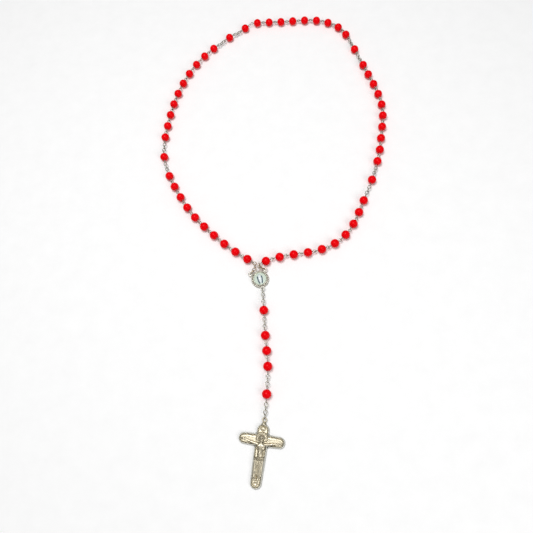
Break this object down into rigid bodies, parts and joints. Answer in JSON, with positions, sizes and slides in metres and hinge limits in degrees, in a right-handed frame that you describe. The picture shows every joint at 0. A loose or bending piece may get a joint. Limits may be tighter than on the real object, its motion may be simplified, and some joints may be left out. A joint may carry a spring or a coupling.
{
  "type": "rosary",
  "caption": "Round red beads on linked wire eye pins form a loop with a drop to a cast crucifix, for counting prayers.",
  "frame": {"origin": "centre of the centrepiece's flat back, on the surface the rosary lies on", "axes": "+Z away from that surface, +Y towards the far end of the bead loop, -Y towards the crucifix, +X to the right of the centrepiece"},
  "size_m": [0.17, 0.356, 0.006],
  "materials": {
    "bead": "glossy red, with a darker rim where the bead turns away",
    "wire": "bright silver-tone wire, lightly tarnished in the loops",
    "cast_silver": "antiqued silver casting with dark recesses",
    "cast_pewter": "warm antiqued pewter casting, bright on the high spots and olive brown in the recesses",
    "cameo": "milky, faintly green glassy dome over a painted figure"
  },
  "bodies": {
    "centrepiece": {"centrepiece_frame": "cast_silver", "centrepiece_cameo": "cameo"},
    "pendant_chain_top": {"pendant_links_top": "wire"},
    "pendant_1": {"pendant_pin_1": "wire"},
    "pendant_bead_1": {"pendant_bead_1": "bead"},
    "pendant_chain_upper": {"pendant_links_upper": "wire"},
    "pendant_2": {"pendant_pin_2": "wire"},
    "pendant_bead_2": {"pendant_bead_2": "bead"},
    "pendant_3": {"pendant_pin_3": "wire"},
    "pendant_bead_3": {"pendant_bead_3": "bead"},
    "pendant_4": {"pendant_pin_4": "wire"},
    "pendant_bead_4": {"pendant_bead_4": "bead"},
    "pendant_chain_lower": {"pendant_links_lower": "wire"},
    "pendant_5": {"pendant_pin_5": "wire"},
    "pendant_bead_5": {"pendant_bead_5": "bead"},
    "pendant_chain_foot": {"pendant_links_foot": "wire"},
    "crucifix_ring": {"crucifix_ring": "wire"},
    "crucifix": {"crucifix": "cast_pewter"},
    "left_chain_top": {"left_links_top": "wire"},
    "left_run_1": {"left_run_1_beads": "bead", "left_run_1_pins": "wire"},
    "left_run_2": {"left_run_2_beads": "bead", "left_run_2_pins": "wire"},
    "left_chain_1": {"left_links_1": "wire"},
    "left_big_1": {"left_big_pin_1": "wire"},
    "left_big_1_bead": {"left_big_bead_1": "bead"},
    "left_chain_2": {"left_links_2": "wire"},
    "left_run_3": {"left_run_3_beads": "bead", "left_run_3_pins": "wire"},
    "left_run_4": {"left_run_4_beads": "bead", "left_run_4_pins": "wire"},
    "left_chain_3": {"left_links_3": "wire"},
    "left_big_2": {"left_big_pin_2": "wire"},
    "left_big_2_bead": {"left_big_bead_2": "bead"},
    "left_chain_4": {"left_links_4": "wire"},
    "left_end": {"left_end_pin": "wire"},
    "left_end_bead": {"left_end_bead": "bead"},
    "right_chain_top": {"right_links_top": "wire"},
    "right_run_1": {"right_run_1_beads": "bead", "right_run_1_pins": "wire"},
    "right_run_2": {"right_run_2_beads": "bead", "right_run_2_pins": "wire"},
    "right_chain_1": {"right_links_1": "wire"},
    "right_big_1": {"right_big_pin_1": "wire"},
    "right_big_1_bead": {"right_big_bead_1": "bead"},
    "right_chain_2": {"right_links_2": "wire"},
    "right_run_3": {"right_run_3_beads": "bead", "right_run_3_pins": "wire"},
    "right_run_4": {"right_run_4_beads": "bead", "right_run_4_pins": "wire"},
    "right_chain_3": {"right_links_3": "wire"},
    "right_big_2": {"right_big_pin_2": "wire"},
    "right_big_2_bead": {"right_big_bead_2": "bead"},
    "right_chain_4": {"right_links_4": "wire"},
    "right_run_5": {"right_run_5_beads": "bead", "right_run_5_pins": "wire"},
    "right_run_6": {"right_run_6_beads": "bead", "right_run_6_pins": "wire"}
  },
  "joints": [
    {"name": "pendant_chain_top_swing", "type": "hinge", "parent": "centrepiece", "child": "pendant_chain_top", "pos_m": [0.00177, -0.00745, 0.0025], "axis": [0, 0, 1], "range_deg": [-45, 45]},
    {"name": "pendant_1_swing", "type": "hinge", "parent": "pendant_chain_top", "child": "pendant_1", "pos_m": [0.00241, -0.01759, 0.00285], "axis": [-0.998, -0.0631, 0], "range_deg": [0, 60]},
    {"name": "pendant_bead_1_spin", "type": "hinge", "parent": "pendant_1", "child": "pendant_bead_1", "pos_m": [0.0027, -0.0224, 0.003], "axis": [0.0593, -0.9982, 0], "continuous": true},
    {"name": "pendant_chain_upper_swing", "type": "hinge", "parent": "pendant_1", "child": "pendant_chain_upper", "pos_m": [0.00302, -0.02779, 0.003], "axis": [0, 0, -1], "range_deg": [-60, 60]},
    {"name": "pendant_2_swing", "type": "hinge", "parent": "pendant_chain_upper", "child": "pendant_2", "pos_m": [0.00337, -0.03466, 0.00275], "axis": [0.9987, 0.0516, 0], "range_deg": [-60, 60]},
    {"name": "pendant_bead_2_spin", "type": "hinge", "parent": "pendant_2", "child": "pendant_bead_2", "pos_m": [0.00371, -0.03937, 0.003], "axis": [0.0732, -0.9973, 0], "continuous": true},
    {"name": "pendant_3_swing", "type": "hinge", "parent": "pendant_2", "child": "pendant_3", "pos_m": [0.00417, -0.04407, 0.003], "axis": [0, 0, 1], "range_deg": [-60, 60]},
    {"name": "pendant_bead_3_spin", "type": "hinge", "parent": "pendant_3", "child": "pendant_bead_3", "pos_m": [0.00459, -0.04945, 0.003], "axis": [0.0785, -0.9969, 0], "continuous": true},
    {"name": "pendant_4_swing", "type": "hinge", "parent": "pendant_3", "child": "pendant_4", "pos_m": [0.00501, -0.05484, 0.003], "axis": [-0.9969, -0.0785, 0], "range_deg": [-60, 60]},
    {"name": "pendant_bead_4_spin", "type": "hinge", "parent": "pendant_4", "child": "pendant_bead_4", "pos_m": [0.0053, -0.05953, 0.003], "axis": [0.0148, -0.9999, 0], "continuous": true},
    {"name": "pendant_chain_lower_swing", "type": "hinge", "parent": "pendant_4", "child": "pendant_chain_lower", "pos_m": [0.00537, -0.06493, 0.003], "axis": [0, 0, -1], "range_deg": [-60, 60]},
    {"name": "pendant_5_swing", "type": "hinge", "parent": "pendant_chain_lower", "child": "pendant_5", "pos_m": [0.00488, -0.07211, 0.00289], "axis": [0.9983, -0.0588, 0], "range_deg": [-60, 60]},
    {"name": "pendant_bead_5_spin", "type": "hinge", "parent": "pendant_5", "child": "pendant_bead_5", "pos_m": [0.0046, -0.07691, 0.003], "axis": [-0.0593, -0.9982, 0], "continuous": true},
    {"name": "pendant_chain_foot_swing", "type": "hinge", "parent": "pendant_5", "child": "pendant_chain_foot", "pos_m": [0.00428, -0.0823, 0.003], "axis": [0, 0, 1], "range_deg": [-60, 60]},
    {"name": "crucifix_ring_swing", "type": "hinge", "parent": "pendant_chain_foot", "child": "crucifix_ring", "pos_m": [0.0035, -0.08935, 0.0023], "axis": [-0.9947, 0.1029, 0], "range_deg": [-45, 45]},
    {"name": "crucifix_swing", "type": "hinge", "parent": "crucifix_ring", "child": "crucifix", "pos_m": [0.00324, -0.09188, 0.0017], "axis": [0, 0, -1], "range_deg": [-45, 45]},
    {"name": "left_chain_top_swing", "type": "hinge", "parent": "centrepiece", "child": "left_chain_top", "pos_m": [-0.00627, 0.00364, 0.0025], "axis": [0, 0, 1], "range_deg": [0, 40]},
    {"name": "left_run_1_swing", "type": "hinge", "parent": "left_chain_top", "child": "left_run_1", "pos_m": [-0.00475, 0.01165, 0.00308], "axis": [0.6293, 0.7771, 0], "range_deg": [0, 60]},
    {"name": "left_run_2_swing", "type": "hinge", "parent": "left_run_1", "child": "left_run_2", "pos_m": [-0.04322, 0.04309, 0.003], "axis": [0, 0, -1], "range_deg": [-40, 0]},
    {"name": "left_chain_1_swing", "type": "hinge", "parent": "left_run_2", "child": "left_chain_1", "pos_m": [-0.06918, 0.08622, 0.00281], "axis": [-0.9464, -0.3231, 0], "range_deg": [-60, 60]},
    {"name": "left_big_1_swing", "type": "hinge", "parent": "left_chain_1", "child": "left_big_1", "pos_m": [-0.07163, 0.09288, 0.003], "axis": [0, 0, 1], "range_deg": [0, 40]},
    {"name": "left_big_1_bead_spin", "type": "hinge", "parent": "left_big_1", "child": "left_big_1_bead", "pos_m": [-0.07247, 0.09822, 0.003], "axis": [-0.1564, 0.9877, 0], "continuous": true},
    {"name": "left_chain_2_swing", "type": "hinge", "parent": "left_big_1", "child": "left_chain_2", "pos_m": [-0.07316, 0.10294, 0.00281], "axis": [0.9998, -0.0195, 0], "range_deg": [-60, 60]},
    {"name": "left_run_3_swing", "type": "hinge", "parent": "left_chain_2", "child": "left_run_3", "pos_m": [-0.07306, 0.11002, 0.003], "axis": [0, 0, -1], "range_deg": [-40, 0]},
    {"name": "left_run_4_swing", "type": "hinge", "parent": "left_run_3", "child": "left_run_4", "pos_m": [-0.06337, 0.16012, 0.003], "axis": [-0.9483, 0.3173, 0], "range_deg": [-60, 60]},
    {"name": "left_chain_3_swing", "type": "hinge", "parent": "left_run_4", "child": "left_chain_3", "pos_m": [-0.03417, 0.20068, 0.003], "axis": [0, 0, 1], "range_deg": [0, 40]},
    {"name": "left_big_2_swing", "type": "hinge", "parent": "left_chain_3", "child": "left_big_2", "pos_m": [-0.02925, 0.20455, 0.00275], "axis": [0.6252, -0.7805, 0], "range_deg": [-60, 60]},
    {"name": "left_big_2_bead_spin", "type": "hinge", "parent": "left_big_2", "child": "left_big_2_bead", "pos_m": [-0.02559, 0.20726, 0.003], "axis": [0.8039, 0.5948, 0], "continuous": true},
    {"name": "left_chain_4_swing", "type": "hinge", "parent": "left_big_2", "child": "left_chain_4", "pos_m": [-0.02125, 0.21047, 0.003], "axis": [0, 0, -1], "range_deg": [-40, 0]},
    {"name": "left_end_swing", "type": "hinge", "parent": "left_chain_4", "child": "left_end", "pos_m": [-0.01624, 0.213, 0.00275], "axis": [-0.4717, 0.8817, 0], "range_deg": [-60, 60]},
    {"name": "left_end_bead_spin", "type": "hinge", "parent": "left_end", "child": "left_end_bead", "pos_m": [-0.01291, 0.21582, 0.003], "axis": [0.766, 0.6428, 0], "continuous": true},
    {"name": "right_chain_top_swing", "type": "hinge", "parent": "centrepiece", "child": "right_chain_top", "pos_m": [0.00336, 0.00671, 0.0025], "axis": [0, 0, -1], "range_deg": [0, 40]},
    {"name": "right_run_1_swing", "type": "hinge", "parent": "right_chain_top", "child": "right_run_1", "pos_m": [-0.00011, 0.0099, 0.003], "axis": [1, 0, 0], "range_deg": [0, 60]},
    {"name": "right_run_2_swing", "type": "hinge", "parent": "right_run_1", "child": "right_run_2", "pos_m": [0.04686, 0.02093, 0.003], "axis": [0, 0, 1], "range_deg": [-40, 0]},
    {"name": "right_chain_1_swing", "type": "hinge", "parent": "right_run_2", "child": "right_chain_1", "pos_m": [0.07486, 0.0601, 0.00289], "axis": [-0.9114, 0.4116, 0], "range_deg": [-60, 60]},
    {"name": "right_big_1_swing", "type": "hinge", "parent": "right_chain_1", "child": "right_big_1", "pos_m": [0.07787, 0.06664, 0.003], "axis": [0, 0, -1], "range_deg": [0, 40]},
    {"name": "right_big_1_bead_spin", "type": "hinge", "parent": "right_big_1", "child": "right_big_1_bead", "pos_m": [0.07977, 0.07169, 0.003], "axis": [0.3502, 0.9367, 0], "continuous": true},
    {"name": "right_chain_2_swing", "type": "hinge", "parent": "right_big_1", "child": "right_chain_2", "pos_m": [0.08131, 0.07583, 0.00275], "axis": [0.9528, -0.3035, 0], "range_deg": [-60, 60]},
    {"name": "right_run_3_swing", "type": "hinge", "parent": "right_chain_2", "child": "right_run_3", "pos_m": [0.0831, 0.08134, 0.003], "axis": [0, 0, 1], "range_deg": [-40, 0]},
    {"name": "right_run_4_swing", "type": "hinge", "parent": "right_run_3", "child": "right_run_4", "pos_m": [0.0915, 0.13052, 0.003], "axis": [-0.9986, 0.0523, 0], "range_deg": [-60, 60]},
    {"name": "right_chain_3_swing", "type": "hinge", "parent": "right_run_4", "child": "right_chain_3", "pos_m": [0.07776, 0.17741, 0.003], "axis": [0, 0, -1], "range_deg": [0, 40]},
    {"name": "right_big_2_swing", "type": "hinge", "parent": "right_chain_3", "child": "right_big_2", "pos_m": [0.07559, 0.1836, 0.00275], "axis": [0.9431, 0.3325, 0], "range_deg": [-60, 60]},
    {"name": "right_big_2_bead_spin", "type": "hinge", "parent": "right_big_2", "child": "right_big_2_bead", "pos_m": [0.07393, 0.18793, 0.003], "axis": [-0.3584, 0.9336, 0], "continuous": true},
    {"name": "right_chain_4_swing", "type": "hinge", "parent": "right_big_2", "child": "right_chain_4", "pos_m": [0.072, 0.19297, 0.003], "axis": [0, 0, 1], "range_deg": [-40, 0]},
    {"name": "right_run_5_swing", "type": "hinge", "parent": "right_chain_4", "child": "right_run_5", "pos_m": [0.07005, 0.19896, 0.00275], "axis": [-0.949, -0.3152, 0], "range_deg": [-60, 60]},
    {"name": "right_run_6_swing", "type": "hinge", "parent": "right_run_5", "child": "right_run_6", "pos_m": [0.0313, 0.22009, 0.003], "axis": [0, 0, -1], "range_deg": [0, 40]}
  ]
}
